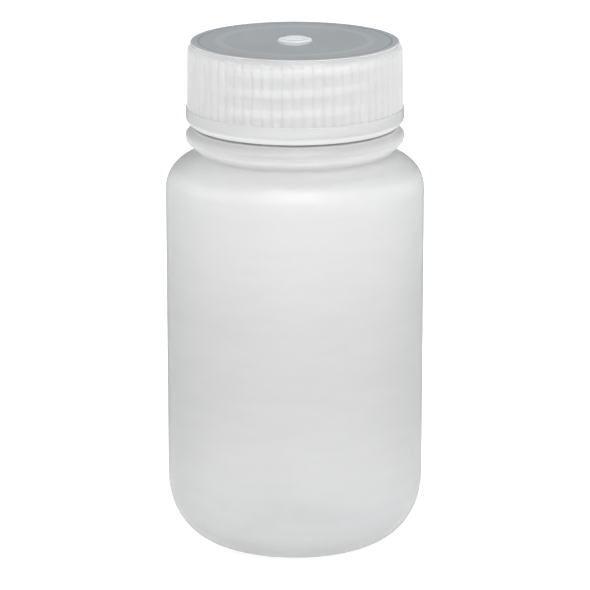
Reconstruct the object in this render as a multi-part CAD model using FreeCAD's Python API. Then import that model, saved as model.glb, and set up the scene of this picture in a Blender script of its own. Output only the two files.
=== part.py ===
"""Wide-mouth reagent bottle of about 125 ml, with a screw cap and a plug-seal insert.

Three moulded pieces:
  bottle       blown shell: recessed base, cylinder, shoulder, hollow neck bead, threaded neck, lip
  screw_cap    ribbed cap with a helical ridge inside its skirt and a gate button on its deck
  seal_insert  disc with a plug ring, snapped under the deck and free to turn there

Frame: millimetres, origin at the centre of the standing plane, +Z up along the bottle's axis.
The front of the bottle faces -Y.
"""
import FreeCAD, Part
import math
import os

# --- Body -----------------------------------------------------------------------------------
body_radius = 26.0
body_wall = 1.4
body_top_z = 73.5
base_ring_inner_radius = 12.4
base_ring_outer_radius = 13.8
base_ring_round = 0.3
base_recess_radius = 11.6
base_recess_height = 1.0
base_recess_crown = 1.4
base_thickness = 1.8
heel_height = 14.0
heel_power = 2.19
heel_steps = 10

# --- Shoulder -------------------------------------------------------------------------------
shoulder_round = 6.5
shoulder_slope_deg = 28.5

# --- Neck bead ------------------------------------------------------------------------------
crease_radius = 19.4
crease_round = 0.35
bead_flank_radius = 21.75
bead_flank_z = 83.25
bead_radius = 22.05
bead_shoulder_z = 84.55
bead_top_radius = 20.7
bead_top_z = 86.1
bead_top_round = 0.3
bead_wall = 1.7
bead_inner_drop = 0.9

# --- Neck and lip ---------------------------------------------------------------------------
neck_radius = 17.9
bore_radius = 16.2
lip_z = 100.6
lip_round = 0.6
neck_foot_round = 0.4

# --- Thread: single start, right hand -------------------------------------------------------
pitch = 4.0
thread_fade_turns = 0.14
thread_embed = 0.3
thread_crown = 0.14
sections_per_turn = 24
flank_clearance = 0.08

neck_thread_crest_radius = 19.2
neck_thread_root_width = 2.2
neck_thread_crest_width = 0.9
neck_thread_start_z = 88.6
neck_thread_start_deg = 243.0
neck_thread_turns = 2.375

cap_thread_crest_radius = 18.25
cap_thread_root_width = 2.0
cap_thread_crest_width = 0.8
cap_thread_start_z = 88.1
cap_thread_turns = 2.2

# --- Screw cap ------------------------------------------------------------------------------
cap_top_z = 103.35
cap_bottom_z = 86.5
deck_edge_radius = 20.8
deck_edge_round = 0.3
edge_taper_height = 1.6
skirt_top_radius = 21.5
skirt_bottom_radius = 21.71
rib_count = 66
rib_depth = 0.3
rib_phase_deg = -91.4
rib_overlap = 0.8
rib_bottom_z = 90.2
band_radius = 21.87
band_top_round = 0.35
band_lower_z = 87.6
cap_mouth_radius = 20.7
cap_bore_radius = 19.6
deck_underside_z = 101.68
cap_inner_round = 0.5
cap_mouth_chamfer = 0.8
cap_mouth_land = 0.4
retainer_radius = 18.9
retainer_top_z = 100.55
retainer_height = 0.9
retainer_crest_drop = 0.35

gate_base_radius = 3.35
gate_base_height = 0.3
gate_top_radius = 2.3
gate_top_height = 0.6
gate_round = 0.12
gate_root = 0.4
gate_pit_radius = 0.5
gate_pit_depth = 0.15

# --- Seal insert ----------------------------------------------------------------------------
insert_radius = 19.2
insert_bottom_z = 100.68
insert_thickness = 0.92
insert_edge_round = 0.25
plug_radius = 16.1
plug_tip_radius = 15.75
plug_root_inner_radius = 14.0
plug_tip_inner_radius = 15.05
plug_tip_z = 97.2
plug_tip_round = 0.3

ORIGIN = FreeCAD.Vector(0, 0, 0)
UP = FreeCAD.Vector(0, 0, 1)


def at(radius, z):
    """Point of a half outline, in the XZ plane."""
    return FreeCAD.Vector(radius, 0, z)


def rounded_edges(corners):
    """Edges through corners (radius, z, fillet): straight runs joined by tangent arcs.

    The first and last corners are plain ends, so their fillet is not used.
    """
    edges = []
    start = at(corners[0][0], corners[0][1])
    for before, corner, after in zip(corners, corners[1:], corners[2:]):
        vertex = at(corner[0], corner[1])
        fillet = corner[2]
        back = (at(before[0], before[1]) - vertex).normalize()
        ahead = (at(after[0], after[1]) - vertex).normalize()
        if fillet == 0:
            edges.append(Part.makeLine(start, vertex))
            start = vertex
            continue
        half_angle = back.getAngle(ahead) / 2
        setback = fillet / math.tan(half_angle)
        inward = (back + ahead).normalize()
        touch_in = vertex + back * setback
        touch_out = vertex + ahead * setback
        middle = vertex + inward * (fillet / math.sin(half_angle) - fillet)
        if (touch_in - start).Length > 1e-6:
            edges.append(Part.makeLine(start, touch_in))
        edges.append(Part.Arc(touch_in, middle, touch_out).toShape())
        start = touch_out
    edges.append(Part.makeLine(start, at(corners[-1][0], corners[-1][1])))
    return edges


def heel_edge(inner_radius, outer_radius, bottom_z):
    """Superellipse from the base's flat ring up to the side wall, tangent to both."""
    width = outer_radius - inner_radius
    height = heel_height - bottom_z
    points = []
    for step in range(heel_steps + 1):
        angle = math.pi / 2 * step / heel_steps
        across = math.sin(angle) ** (2 / heel_power)
        below = math.cos(angle) ** (2 / heel_power) if step < heel_steps else 0.0
        points.append(at(inner_radius + width * across, heel_height - height * below))
    curve = Part.BSplineCurve()
    curve.interpolate(points, InitialTangent=FreeCAD.Vector(1, 0, 0), FinalTangent=UP)
    return curve.toShape()


def dome_edge(rim_radius, rim_z, crown_z):
    """Arc of a sphere centred on the axis, from its crown on the axis out to its rim."""
    rise = crown_z - rim_z
    sphere_radius = (rim_radius ** 2 + rise ** 2) / (2 * rise)
    half_way = rim_radius / 2
    middle_z = crown_z - sphere_radius + math.sqrt(sphere_radius ** 2 - half_way ** 2)
    return Part.Arc(at(0, crown_z), at(half_way, middle_z), at(rim_radius, rim_z)).toShape()


def revolved(edges):
    """Solid of revolution about Z of a closed half outline."""
    wire = Part.Wire(Part.__sortEdges__(edges))
    return Part.Face(wire).revolve(ORIGIN, UP, 360)


def thread_ridge(wall_radius, crest_radius, root_width, crest_width, start_z, start_deg, turns):
    """Helical ridge with trapezoidal section whose ends fade into the wall it stands on.

    A crest radius above the wall radius makes an outside thread, below it an inside one.
    """
    outward = 1 if crest_radius > wall_radius else -1
    buried_radius = wall_radius - outward * thread_embed
    foot_width = root_width + (root_width - crest_width) * thread_embed / abs(crest_radius - wall_radius)
    faded_crest = wall_radius - outward * thread_embed / 2
    sections = []
    count = round(turns * sections_per_turn)
    for step in range(count + 1):
        turned = turns * step / count
        rise = min(turned, turns - turned) / thread_fade_turns
        fade = math.sin(math.pi / 2 * min(1.0, rise)) ** 2
        crest = faded_crest + (crest_radius - faded_crest) * fade
        climbed = (crest - buried_radius) / (crest_radius - buried_radius)
        narrow = foot_width + (crest_width - foot_width) * climbed
        angle = math.radians(start_deg + 360 * turned)
        z = start_z + pitch * turned
        crown = (crest - buried_radius) * thread_crown
        corners = [
            (buried_radius, z - foot_width / 2),
            (crest - crown, z - narrow / 2),
            (crest, z),
            (crest - crown, z + narrow / 2),
            (buried_radius, z + foot_width / 2),
        ]
        points = [FreeCAD.Vector(r * math.cos(angle), r * math.sin(angle), h) for r, h in corners]
        sections.append(Part.Wire([
            Part.makeLine(points[0], points[1]),
            Part.Arc(points[1], points[2], points[3]).toShape(),
            Part.makeLine(points[3], points[4]),
            Part.makeLine(points[4], points[0]),
        ]))
    return Part.makeLoft(sections, True, False)


def bottle():
    """Blown shell in one outline, from the base's underside over the lip to the inside, plus thread."""
    slope = math.radians(shoulder_slope_deg)

    def shoulder_arc(wall):
        """Round between the side wall and the shoulder's cone, for a surface this far inside."""
        radius = shoulder_round - wall
        centre_radius = body_radius - shoulder_round
        low = at(centre_radius + radius, body_top_z)
        turn = math.pi / 2 - slope
        middle = at(centre_radius + radius * math.cos(turn / 2), body_top_z + radius * math.sin(turn / 2))
        high = at(centre_radius + radius * math.cos(turn), body_top_z + radius * math.sin(turn))
        return low, middle, high

    outer_low, outer_middle, outer_high = shoulder_arc(0)
    inner_low, inner_middle, inner_high = shoulder_arc(body_wall)
    crease_z = outer_high.z + (outer_high.x - crease_radius) * math.tan(slope)
    inner_crease_radius = crease_radius - bead_wall
    inner_crease_z = inner_high.z + (inner_high.x - inner_crease_radius) * math.tan(slope)

    edges = [dome_edge(base_recess_radius, base_recess_height, base_recess_crown)]
    edges += rounded_edges([
        (base_recess_radius, base_recess_height, 0),
        (base_ring_inner_radius, 0, base_ring_round),
        (base_ring_outer_radius, 0, 0),
    ])
    edges.append(heel_edge(base_ring_outer_radius, body_radius, 0))
    edges.append(Part.makeLine(at(body_radius, heel_height), outer_low))
    edges.append(Part.Arc(outer_low, outer_middle, outer_high).toShape())
    edges += rounded_edges([
        (outer_high.x, outer_high.z, 0),
        (crease_radius, crease_z, crease_round),
        (bead_flank_radius, bead_flank_z, 0.9),
        (bead_radius, bead_shoulder_z, 0.7),
        (bead_top_radius, bead_top_z, bead_top_round),
        (neck_radius, bead_top_z, neck_foot_round),
        (neck_radius, lip_z, lip_round),
        (bore_radius, lip_z, lip_round),
        (bore_radius, bead_top_z - bead_wall, 0.8),
        (bead_radius - bead_wall, bead_shoulder_z - bead_inner_drop, 0.8),
        (inner_crease_radius, inner_crease_z, 1.2),
        (inner_high.x, inner_high.z, 0),
    ])
    edges.append(Part.Arc(inner_high, inner_middle, inner_low).toShape())
    edges.append(Part.makeLine(inner_low, at(inner_low.x, heel_height)))
    edges.append(heel_edge(base_ring_outer_radius, inner_low.x, base_thickness))
    edges += rounded_edges([
        (base_ring_outer_radius, base_thickness, 0),
        (base_ring_inner_radius, base_thickness, base_ring_round),
        (base_recess_radius, base_recess_height + base_thickness, 0),
    ])
    edges.append(dome_edge(base_recess_radius, base_recess_height + base_thickness,
                           base_recess_crown + base_thickness))
    edges.append(Part.makeLine(at(0, base_recess_crown + base_thickness), at(0, base_recess_crown)))
    shell = revolved(edges)
    thread = thread_ridge(neck_radius, neck_thread_crest_radius, neck_thread_root_width,
                          neck_thread_crest_width, neck_thread_start_z, neck_thread_start_deg,
                          neck_thread_turns)
    return shell.fuse(thread)


def scalloped_wire(crest_radius, z):
    """Closed ring of convex arcs, one for each grip rib, that meet in shallow valleys."""
    valley_radius = crest_radius - rib_depth
    step = 2 * math.pi / rib_count
    start = math.radians(rib_phase_deg)

    def on_ring(radius, index):
        angle = start + index * step
        return FreeCAD.Vector(radius * math.cos(angle), radius * math.sin(angle), z)

    arcs = [
        Part.Arc(on_ring(valley_radius, rib), on_ring(crest_radius, rib + 0.5),
                 on_ring(valley_radius, rib + 1)).toShape()
        for rib in range(rib_count)
    ]
    return Part.Wire(arcs)


def cap_envelope():
    """Outside limit of the cap above its band: it tapers the ribs' upper ends in to the deck's edge."""
    low_z = rib_bottom_z - rib_overlap
    outer = skirt_bottom_radius + rib_depth
    return revolved(rounded_edges([
        (0, cap_top_z, 0),
        (deck_edge_radius, cap_top_z, deck_edge_round),
        (skirt_top_radius + 0.04, cap_top_z - edge_taper_height, 0.8),
        (outer, low_z, 0),
        (0, low_z, 0),
    ]) + [Part.makeLine(at(0, low_z), at(0, cap_top_z))])


def screw_cap():
    """Ribbed skirt, smooth lower band, thread and insert retainer inside, gate button on the deck."""
    ribbed = Part.makeLoft([scalloped_wire(skirt_bottom_radius, rib_bottom_z - rib_overlap),
                            scalloped_wire(skirt_top_radius, cap_top_z + rib_overlap)], True, True)
    wall = ribbed.common(cap_envelope())

    band_inner = cap_thread_crest_radius - 1.0
    band = revolved(rounded_edges([
        (band_inner, cap_bottom_z, 0),
        (cap_mouth_radius, cap_bottom_z, 0.12),
        (band_radius, band_lower_z, 1.2),
        (band_radius, rib_bottom_z, band_top_round),
        (band_inner, rib_bottom_z, 0),
    ]) + [Part.makeLine(at(band_inner, rib_bottom_z), at(band_inner, cap_bottom_z))])

    cavity_floor = cap_bottom_z - 1.0
    cavity = revolved(rounded_edges([
        (0, cavity_floor, 0),
        (cap_mouth_radius - cap_mouth_land, cavity_floor, 0),
        (cap_mouth_radius - cap_mouth_land, cap_bottom_z, 0),
        (cap_bore_radius, cap_bottom_z + cap_mouth_chamfer, 0.3),
        (cap_bore_radius, retainer_top_z - retainer_height, 0),
        (retainer_radius, retainer_top_z - retainer_crest_drop, 0.15),
        (cap_bore_radius, retainer_top_z, 0),
        (cap_bore_radius, deck_underside_z, cap_inner_round),
        (0, deck_underside_z, 0),
    ]) + [Part.makeLine(at(0, deck_underside_z), at(0, cavity_floor))])

    # The cap's ridge lies just under the neck's ridge, whose lower flank holds the closed cap down.
    overlap = neck_thread_crest_radius - cap_thread_crest_radius
    neck_taper = (neck_thread_root_width - neck_thread_crest_width) / (neck_thread_crest_radius - neck_radius)
    neck_width = neck_thread_crest_width + overlap * neck_taper
    drop = (neck_width + cap_thread_crest_width) / 2 + flank_clearance
    turns_above_start = (cap_thread_start_z + drop - neck_thread_start_z) / pitch
    thread = thread_ridge(cap_bore_radius, cap_thread_crest_radius, cap_thread_root_width,
                          cap_thread_crest_width, cap_thread_start_z,
                          neck_thread_start_deg + 360 * turns_above_start, cap_thread_turns)

    gate_foot = cap_top_z - gate_root
    gate_top = cap_top_z + gate_top_height
    gate = revolved(rounded_edges([
        (0, gate_foot, 0),
        (gate_base_radius, gate_foot, 0),
        (gate_base_radius, cap_top_z + gate_base_height, gate_round),
        (gate_top_radius, cap_top_z + gate_base_height, 0),
        (gate_top_radius, gate_top, gate_round),
        (gate_pit_radius, gate_top, 0),
        (0, gate_top - gate_pit_depth, 0),
    ]) + [Part.makeLine(at(0, gate_top - gate_pit_depth), at(0, gate_foot))])

    return wall.fuse(band).cut(cavity.cut(thread)).fuse(gate)


def seal_insert():
    """Thin disc that covers the lip, with a tapered ring that plugs the bore."""
    top_z = insert_bottom_z + insert_thickness
    return revolved(rounded_edges([
        (0, top_z, 0),
        (insert_radius, top_z, insert_edge_round),
        (insert_radius, insert_bottom_z, insert_edge_round),
        (plug_radius, insert_bottom_z, 0.15),
        (plug_tip_radius, plug_tip_z, plug_tip_round),
        (plug_tip_inner_radius, plug_tip_z, plug_tip_round),
        (plug_root_inner_radius, insert_bottom_z, 0.4),
        (0, insert_bottom_z, 0),
    ]) + [Part.makeLine(at(0, insert_bottom_z), at(0, top_z))])


os.makedirs("parts", exist_ok=True)
for make_piece in (bottle, screw_cap, seal_insert):
    piece = make_piece()
    name = make_piece.__name__
    piece.exportStep(f"parts/{name}.step")
    print(f"{name}: {len(piece.Solids)} solid, valid {piece.isValid()}, {piece.Volume / 1000:.2f} cm3")
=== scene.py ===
"""Looks of the wide-mouth reagent bottle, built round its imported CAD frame.

The three CAD nodes stay as they are: bottle, screw_cap and seal_insert. This script gives each one
its moulded plastic, and adds the floor, the studio light and the camera. Metres, +Z up, front at -Y.
"""

import math

import bpy
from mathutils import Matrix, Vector


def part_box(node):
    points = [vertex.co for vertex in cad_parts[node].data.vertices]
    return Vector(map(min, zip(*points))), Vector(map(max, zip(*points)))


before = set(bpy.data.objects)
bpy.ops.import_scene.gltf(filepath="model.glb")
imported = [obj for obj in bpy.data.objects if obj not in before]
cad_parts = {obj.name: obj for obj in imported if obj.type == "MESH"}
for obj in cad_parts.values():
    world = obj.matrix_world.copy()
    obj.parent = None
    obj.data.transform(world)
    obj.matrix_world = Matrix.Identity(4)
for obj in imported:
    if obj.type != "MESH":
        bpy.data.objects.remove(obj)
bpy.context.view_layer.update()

# Places on the cap, in metres. The thread starts at a share of its pitch.
gate_height = 0.0006
gate_radius = 0.0034
plug_ring_inner = 0.0147
plug_ring_outer = 0.0157
pocket_radius = 0.0193
thread_pitch = 0.004
thread_start = 0.96
rim_top_z = 0.1032
thread_top_z = 0.1013
rim_foot_z = 0.1012
rib_foot_z = 0.0902
band_foot_z = 0.0874
lip_foot_z = 0.0866

# Widths over which one tone of the cap passes into the next, in metres.
deck_fade = 0.0002
rib_fade = 0.0003
band_fade = 0.0006

# Places on the bottle, as shares of its height.
wall_top = 0.765
shoulder_top = 0.79
crease_foot = 0.80
crease = 0.81
bead_foot = 0.83
bead_top = 0.854
neck_foot = 0.895
height_fade = 0.01

# The neck's own radius and that of its thread's flank, in metres.
neck_radius = 0.0181
flank_radius = 0.0187

# Optics of the plastics. A depth is how far light scatters, and a skin is the tint of the coat.
pp_ior = 1.49
deck_ior = 1.2
absorbing_ior = 1.0
body_depth = 0.004
cap_depth = 0.002
gate_depth = 0.0005
insert_depth = 0.001
white = (1.0, 1.0, 1.0)
body_skin = (0.960, 0.9635, 0.965)
band_skin = (0.94, 0.944, 0.946)

# Noise between these two values takes in most of its spread.
noise_low = 0.3
noise_high = 0.7


# --- Node helpers ---------------------------------------------------------------------------
def new_material(name):
    """Empty node material with an output and a Principled shader."""
    material = bpy.data.materials.new(name)
    material.use_nodes = True
    tree = material.node_tree
    tree.nodes.clear()
    output = tree.nodes.new("ShaderNodeOutputMaterial")
    shader = tree.nodes.new("ShaderNodeBsdfPrincipled")
    tree.links.new(shader.outputs["BSDF"], output.inputs["Surface"])
    return material, tree, shader


def feed(tree, node, inputs):
    """Gives a node its inputs by name: each is another node's output, a number or a triple."""
    for name, value in inputs.items():
        socket = node.inputs[name]
        if isinstance(value, bpy.types.NodeSocket):
            tree.links.new(value, socket)
        elif isinstance(value, tuple):
            socket.default_value[:3] = value
        else:
            socket.default_value = value


def object_coords(tree):
    """Object coordinates, which are the shared frame's metres."""
    return tree.nodes.new("ShaderNodeTexCoord").outputs["Object"]


def noise(tree, vector, size, detail, stretch=(1.0, 1.0, 1.0)):
    """Noise whose features are about `size` metres across, times `stretch` along each axis."""
    mapping = tree.nodes.new("ShaderNodeMapping")
    feed(tree, mapping, {"Vector": vector, "Scale": tuple(1.0 / s for s in stretch)})
    node = tree.nodes.new("ShaderNodeTexNoise")
    feed(tree, node, {"Vector": mapping.outputs["Vector"], "Scale": 1.0 / size, "Detail": detail})
    return node.outputs["Fac"]


def remap(tree, value, from_low, from_high, to_low, to_high, step="LINEAR"):
    """Remap of a value, clamped to its new range."""
    node = tree.nodes.new("ShaderNodeMapRange")
    node.interpolation_type = step
    feed(tree, node, {"Value": value, "From Min": from_low, "From Max": from_high,
                      "To Min": to_low, "To Max": to_high})
    return node.outputs["Result"]


def rise(tree, value, start, end):
    """0 up to `start`, 1 from `end`."""
    return remap(tree, value, start, end, 0.0, 1.0)


def fall(tree, value, start, end):
    """1 up to `start`, 0 from `end`."""
    return remap(tree, value, start, end, 1.0, 0.0)


def combine(tree, operation, *values):
    """Math of one or two inputs, each a node's output or a number."""
    node = tree.nodes.new("ShaderNodeMath")
    node.operation = operation
    for value, socket in zip(values, node.inputs):
        if isinstance(value, float):
            socket.default_value = value
        else:
            tree.links.new(value, socket)
    return node.outputs["Value"]


def times(tree, value, other):
    """Product of two values."""
    return combine(tree, "MULTIPLY", value, other)


def blend_values(tree, share, value, other):
    """value where share is 0, the number `other` where share is 1."""
    node = tree.nodes.new("ShaderNodeMix")
    feed(tree, node, {"Factor": share, "A": value, "B": other})
    return node.outputs["Result"]


def axis_value(tree, vector, axis):
    """One component, "X", "Y" or "Z", of a vector."""
    node = tree.nodes.new("ShaderNodeSeparateXYZ")
    tree.links.new(vector, node.inputs["Vector"])
    return node.outputs[axis]


def radius_of(tree, vector):
    """Distance from the bottle's axis."""
    flat = tree.nodes.new("ShaderNodeVectorMath")
    flat.operation = "MULTIPLY"
    flat.inputs[1].default_value = (1.0, 1.0, 0.0)
    tree.links.new(vector, flat.inputs[0])
    length = tree.nodes.new("ShaderNodeVectorMath")
    length.operation = "LENGTH"
    tree.links.new(flat.outputs["Vector"], length.inputs[0])
    return length.outputs["Value"]


def plain_colour(tree, colour):
    """One colour as a node's output."""
    node = tree.nodes.new("ShaderNodeRGB")
    node.outputs["Color"].default_value = (*colour, 1.0)
    return node.outputs["Color"]


def ramp(tree, value, stops):
    """Colour ramp through (place, colour) stops with smooth steps."""
    node = tree.nodes.new("ShaderNodeValToRGB")
    node.color_ramp.interpolation = "EASE"
    elements = node.color_ramp.elements
    while len(elements) < len(stops):
        elements.new(0.5)
    for element, (place, colour) in zip(elements, stops):
        element.position = place
        element.color = (*colour, 1.0)
    tree.links.new(value, node.inputs["Fac"])
    return node.outputs["Color"]


def mix_colours(tree, share, colour, other, blend_type="MIX"):
    """colour where share is 0, other, or the blend with it, where share is 1."""
    node = tree.nodes.new("ShaderNodeMix")
    node.data_type = "RGBA"
    node.blend_type = blend_type
    feed(tree, node, {"Factor": share, "A": colour, "B": other})
    return node.outputs["Result"]


def scale_colour(tree, colour, value):
    """A colour times a value."""
    node = tree.nodes.new("ShaderNodeVectorMath")
    node.operation = "SCALE"
    tree.links.new(colour, node.inputs[0])
    tree.links.new(value, node.inputs["Scale"])
    return node.outputs["Vector"]


def bump(tree, height, distance):
    """Normal that carries a height field as a bump of `distance` metres."""
    node = tree.nodes.new("ShaderNodeBump")
    feed(tree, node, {"Height": height, "Distance": distance})
    return node.outputs["Normal"]


# --- Bottle ---------------------------------------------------------------------------------
def body_plastic():
    """Natural polypropylene, blown: milky, with painted light that is brightest under the shoulder, and
    cooler at the heel.
    """
    material, tree, shader = new_material("natural_pp_blown")
    place = object_coords(tree)
    low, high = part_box("bottle")
    height = rise(tree, axis_value(tree, place, "Z"), low.z, high.z)
    grain = noise(tree, place, 0.004, 3.0)
    feed(tree, shader, milky(body_depth, clear_share(tree, height), body_skin))
    feed(tree, shader, {
        "Base Color": body_colour(tree, place, height),
        "Coat Weight": skin_share(tree, height),
        "Coat Roughness": 0.4,
        "Roughness": remap(tree, grain, noise_low, noise_high, 0.32, 0.38),
        "Normal": bump(tree, noise(tree, place, 0.009, 2.0), 0.0001),
    })
    return material


def milky(depth, clear, skin=white):
    """Inputs of a scattering plastic: `clear` is the share of the light that goes through unscattered.

    `skin` tints the coat, which reflects nothing of its own and absorbs more at a shallow angle.
    """
    return {
        "Subsurface Weight": 1.0,
        "Subsurface Radius": white,
        "Subsurface Scale": depth,
        "Transmission Weight": clear,
        "IOR": pp_ior,
        "Coat IOR": absorbing_ior,
        "Coat Tint": skin,
    }


def body_colour(tree, place, height):
    """Painted light and shade by height, with faint level streaks, and painted shade on the neck between
    its thread's ridges.
    """
    # Painted light and shade by height: pale at the heel, darker down the lower wall, brightest under
    # the shoulder, darker at the crease's foot, painted light in the crease under the bead and painted
    # shade on the bead.
    tone = ramp(tree, height, [
        (0.06, (0.96, 0.97, 0.975)),
        (0.14, (0.90, 0.903, 0.905)),
        (0.22, (0.90, 0.892, 0.892)),
        (0.37, (0.88, 0.873, 0.872)),
        (0.46, (0.915, 0.906, 0.902)),
        (0.60, (0.99, 0.975, 0.96)),
        (0.70, (1.0, 1.0, 0.98)),
        (0.75, (1.0, 1.0, 0.98)),
        (wall_top, (0.96, 0.955, 0.945)),
        (0.785, (0.96, 0.955, 0.95)),
        (crease_foot, (0.87, 0.867, 0.86)),
        (crease, white),
        (0.82, white),
        (bead_foot, (0.62, 0.62, 0.62)),
        (0.842, (0.47, 0.47, 0.47)),
        (bead_top, (0.47, 0.47, 0.47)),
        (0.857, (0.9, 0.9, 0.9)),
    ])
    streaks = noise(tree, place, 0.0022, 3.0, (5.0, 5.0, 1.0))
    streaky = scale_colour(tree, tone, remap(tree, streaks, noise_low, noise_high, 0.965, 1.0))
    on_neck = rise(tree, height, neck_foot, neck_foot + height_fade)
    between_ridges = fall(tree, radius_of(tree, place), neck_radius, flank_radius)
    painted_thread_shade = times(tree, on_neck, between_ridges)
    # Painted shade: grey on the neck between its thread's ridges, seen through the cap as the thread's
    # dark bands.
    return mix_colours(tree, painted_thread_shade, streaky, plain_colour(tree, (0.55, 0.56, 0.57)))


def clear_share(tree, height):
    """How clear the bottle is by height: clearest down the wall, milky round the bead."""
    wall = remap(tree, height, shoulder_top, crease, 0.65, 0.1)
    under_shoulder = times(tree, remap(tree, height, 0.54, 0.70, 0.0, 0.14),
                           fall(tree, height, wall_top, wall_top + height_fade))
    neck = remap(tree, height, neck_foot - height_fade, neck_foot, 0.0, 0.45)
    return combine(tree, "ADD", combine(tree, "SUBTRACT", wall, under_shoulder), neck)


def skin_share(tree, height):
    """Weight of the absorbing skin: whole up the wall, half from the crease up, a third at the foot."""
    above_heel = remap(tree, height, 0.10, 0.27, 0.35, 1.0)
    return times(tree, remap(tree, height, wall_top, crease_foot, 1.0, 0.5), above_heel)


# --- Cap ------------------------------------------------------------------------------------
def cap_plastic():
    """Natural polypropylene, injection moulded: satin ribs, a glossy deck and a frosted gate button."""
    material, tree, shader = new_material("natural_pp_moulded")
    place = object_coords(tree)
    height = axis_value(tree, place, "Z")
    radius = radius_of(tree, place)
    deck_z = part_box("screw_cap")[1].z - gate_height
    on_deck = rise(tree, height, deck_z - 2 * deck_fade, deck_z - deck_fade)
    glossy = times(tree, on_deck, rise(tree, radius, gate_radius, gate_radius + deck_fade))
    on_gate = combine(tree, "SUBTRACT", on_deck, glossy)
    on_band = times(tree, fall(tree, height, rib_foot_z, rib_foot_z + rib_fade),
                    rise(tree, height, band_foot_z, band_foot_z + band_fade))

    ridge = thread_ridge(tree, place, height)
    tint = ramp(tree, noise(tree, place, 0.012, 1.0), [
        (0.35, (0.984, 0.990, 0.998)),
        (0.65, (0.992, 0.990, 0.998)),
    ])
    # The skirt's colour is a faint random tint times painted shade: darker between the thread's turns,
    # towards the sides, on the band and at the rim.
    skirt = scale_colour(tree, tint, painted_skirt_shade(tree, ridge, height))
    # The deck's colour is painted shade: grey, lighter over the plug ring, darkest over the gap round
    # the insert.
    deck = mix_colours(tree, 1.0, tint, painted_deck_shade(tree, radius), "MULTIPLY")
    shade = mix_colours(tree, glossy, skirt, deck)
    skirt_clear = times(tree, remap(tree, ridge, 0.0, 1.0, 0.56, 0.50),
                        rise(tree, height, lip_foot_z, band_foot_z + band_fade))
    grain = noise(tree, place, 0.002, 3.0)
    satin = remap(tree, grain, noise_low, noise_high, 0.285, 0.32)
    deck_roughness = 0.12

    depth = remap(tree, on_gate, 0.0, 1.0, cap_depth, gate_depth)
    feed(tree, shader, milky(depth, blend_values(tree, on_gate, skirt_clear, 0.15)))
    feed(tree, shader, {
        # Painted shade: the gate button gets the deck's grey, not the skirt's white.
        "Base Color": mix_colours(tree, on_gate, shade, plain_colour(tree, (0.595, 0.60, 0.61))),
        "Coat Weight": combine(tree, "MAXIMUM", on_band, glossy),
        "Coat IOR": remap(tree, glossy, 0.0, 1.0, absorbing_ior, deck_ior),
        "Coat Tint": mix_colours(tree, glossy, plain_colour(tree, band_skin), plain_colour(tree, white)),
        "Coat Roughness": deck_roughness,
        "Roughness": blend_values(tree, glossy, satin, deck_roughness),
        "Normal": bump(tree, grain, 0.00001),
    })
    return material


def thread_ridge(tree, place, height):
    """1 along the helix of the thread inside the skirt, 0 between its turns, and low at the two sides,
    where the skirt's painted shade is darker.

    The ridge's crest and foot are half widths, as shares of the pitch.
    """
    crest = 0.14
    foot = 0.26
    side_start_x = 0.009
    side_end_x = 0.017
    at_sides = 0.1
    turned = combine(tree, "ARCTAN2", axis_value(tree, place, "Y"), axis_value(tree, place, "X"))
    lead = times(tree, turned, thread_pitch / (2 * math.pi))
    along = combine(tree, "DIVIDE", combine(tree, "SUBTRACT", height, lead), thread_pitch)
    phase = combine(tree, "FRACT", combine(tree, "SUBTRACT", along, thread_start))
    off_ridge = combine(tree, "ABSOLUTE", combine(tree, "SUBTRACT", phase, 0.5))
    ridge = remap(tree, off_ridge, crest, foot, 1.0, 0.0, "SMOOTHSTEP")
    sideways = combine(tree, "ABSOLUTE", axis_value(tree, place, "X"))
    return blend_values(tree, rise(tree, sideways, side_start_x, side_end_x), ridge, at_sides)


def painted_skirt_shade(tree, ridge, height):
    """Painted shade on the skirt: full along the thread and on the lip, darker between the thread's
    turns, on the band and at the rim.
    """
    between_threads = 0.93
    band = 0.96
    rim = 0.66
    shade = remap(tree, ridge, 0.0, 1.0, between_threads, 1.0)
    past_thread = rise(tree, height, thread_top_z, thread_top_z + 0.001)
    shade = blend_values(tree, past_thread, shade, 1.0)
    shade = blend_values(tree, fall(tree, height, rib_foot_z, rib_foot_z + rib_fade), shade, band)
    shade = blend_values(tree, fall(tree, height, band_foot_z, band_foot_z + band_fade), shade, 1.0)
    return times(tree, shade, remap(tree, height, rim_foot_z, rim_top_z, 1.0, rim))


def painted_deck_shade(tree, radius):
    """Painted shade of the deck: grey, with painted light over the plug ring, a dark ring of painted
    shade over the gap round the insert, and lighter over the skirt.
    """
    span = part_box("screw_cap")[1].x
    ring_fade = 0.0007
    pocket_fade = 0.0004
    plain = (0.605, 0.617, 0.624)
    ring = (0.68, 0.69, 0.695)
    return ramp(tree, rise(tree, radius, 0.0, span), [
        ((plug_ring_inner - ring_fade) / span, plain),
        (plug_ring_inner / span, ring),
        (plug_ring_outer / span, ring),
        ((plug_ring_outer + ring_fade) / span, plain),
        ((pocket_radius - pocket_fade) / span, plain),
        (pocket_radius / span, (0.41, 0.42, 0.43)),
        ((pocket_radius + pocket_fade) / span, (0.66, 0.66, 0.66)),
    ])


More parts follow.
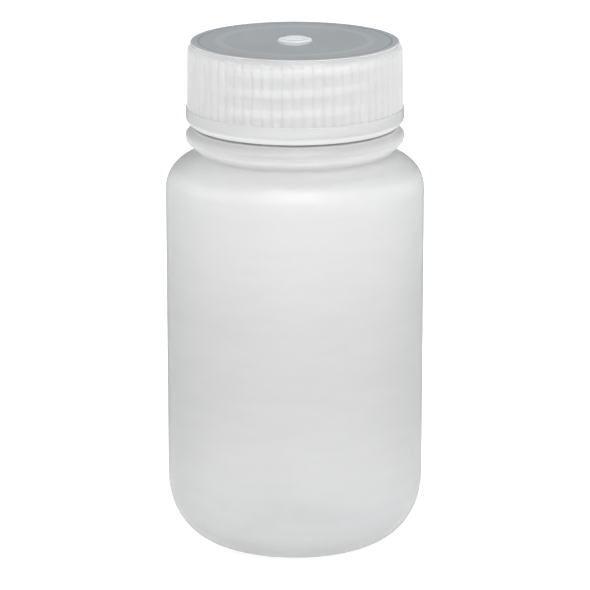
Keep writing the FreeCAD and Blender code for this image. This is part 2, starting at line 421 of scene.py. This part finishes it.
# --- Insert ---------------------------------------------------------------------------------
def insert_plastic():
    """Natural polyethylene, softer and duller than the cap, with painted light making it whitest where
    the plug ring backs it.
    """
    material, tree, shader = new_material("natural_pe_insert")
    place = object_coords(tree)
    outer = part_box("seal_insert")[1].x
    disc = (0.80, 0.82, 0.84)
    ring = (0.98, 0.98, 0.98)
    # Painted light: whitest over the plug ring, greyer on the thinner disc either side.
    colour = ramp(tree, rise(tree, radius_of(tree, place), 0.0, outer), [
        (0.70, disc),
        (0.75, ring),
        (0.83, ring),
        (0.88, disc),
    ])
    grain = noise(tree, place, 0.002, 3.0)
    feed(tree, shader, milky(insert_depth, 0.4))
    feed(tree, shader, {
        "Base Color": colour,
        "Roughness": remap(tree, grain, noise_low, noise_high, 0.4, 0.5),
    })
    return material


def dress(node, material):
    """Puts one material in every slot of a CAD node."""
    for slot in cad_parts[node].material_slots:
        slot.material = material


# --- Stage ----------------------------------------------------------------------------------
def build_floor():
    """Pale floor, wide enough to fill every view, that glows a little so that it stays even."""
    half = 4.0
    mesh = bpy.data.meshes.new("floor")
    corners = [(-half, -half, 0), (half, -half, 0), (half, half, 0), (-half, half, 0)]
    mesh.from_pydata(corners, [], [(0, 1, 2, 3)])
    floor = bpy.data.objects.new("floor", mesh)
    bpy.context.scene.collection.objects.link(floor)
    material, tree, shader = new_material("pale_floor")
    feed(tree, shader, {
        "Base Color": (0.30, 0.30, 0.30),
        "Roughness": 0.9,
        "Emission Color": white,
        "Emission Strength": 0.8,
    })
    mesh.materials.append(material)


def build_world():
    """Soft white surround with one dark card low down behind, which the glossy deck mirrors."""
    world = bpy.data.worlds.new("studio")
    bpy.context.scene.world = world
    world.use_nodes = True
    tree = world.node_tree
    tree.nodes.clear()
    output = tree.nodes.new("ShaderNodeOutputWorld")
    background = tree.nodes.new("ShaderNodeBackground")
    direction = tree.nodes.new("ShaderNodeTexCoord").outputs["Generated"]
    height = axis_value(tree, direction, "Z")
    dome = ramp(tree, height, [
        (0.0, (1.05, 1.05, 1.05)),
        (0.5, (1.2, 1.2, 1.2)),
        (1.0, (1.7, 1.7, 1.7)),
    ])
    left_to_right = remap(tree, axis_value(tree, direction, "X"), -1.0, 1.0, 0.87, 1.03)
    dome = scale_colour(tree, dome, left_to_right)
    behind = rise(tree, axis_value(tree, direction, "Y"), 0.72, 0.90)
    on_card = times(tree, fall(tree, height, 0.30, 0.50), behind)
    card = plain_colour(tree, (0.17, 0.20, 0.22))
    feed(tree, background, {"Color": mix_colours(tree, on_card, dome, card), "Strength": 1.0})
    tree.links.new(background.outputs["Background"], output.inputs["Surface"])


def build_softbox(name, place, target, size, power):
    """Square area light at a place, aimed at a target."""
    light = bpy.data.lights.new(name, "AREA")
    light.shape = "SQUARE"
    light.size = size
    light.energy = power
    box = bpy.data.objects.new(name, light)
    box.location = place
    box.rotation_euler = (Vector(target) - Vector(place)).to_track_quat("-Z", "Y").to_euler()
    bpy.context.scene.collection.objects.link(box)


def build_camera():
    """Long lens in front of the bottle, looking a little down on it."""
    distance = 0.680
    eye_height = 0.2335
    pitch_deg = 15.04
    camera = bpy.data.cameras.new("camera")
    camera.sensor_width = 36.0
    camera.lens = 211.3
    camera.clip_start = 0.01
    camera.clip_end = 50.0
    holder = bpy.data.objects.new("camera", camera)
    holder.location = (0.0, -distance, eye_height)
    holder.rotation_euler = (math.radians(90.0 - pitch_deg), 0.0, 0.0)
    bpy.context.scene.collection.objects.link(holder)
    bpy.context.scene.camera = holder


bpy.context.scene.view_settings.view_transform = "Standard"
dress("bottle", body_plastic())
dress("screw_cap", cap_plastic())
dress("seal_insert", insert_plastic())
build_floor()
build_world()
build_softbox("key_light", place=(0.06, -0.5, 0.9), target=(0.0, 0.0, 0.06), size=0.6, power=4.5)
build_camera()
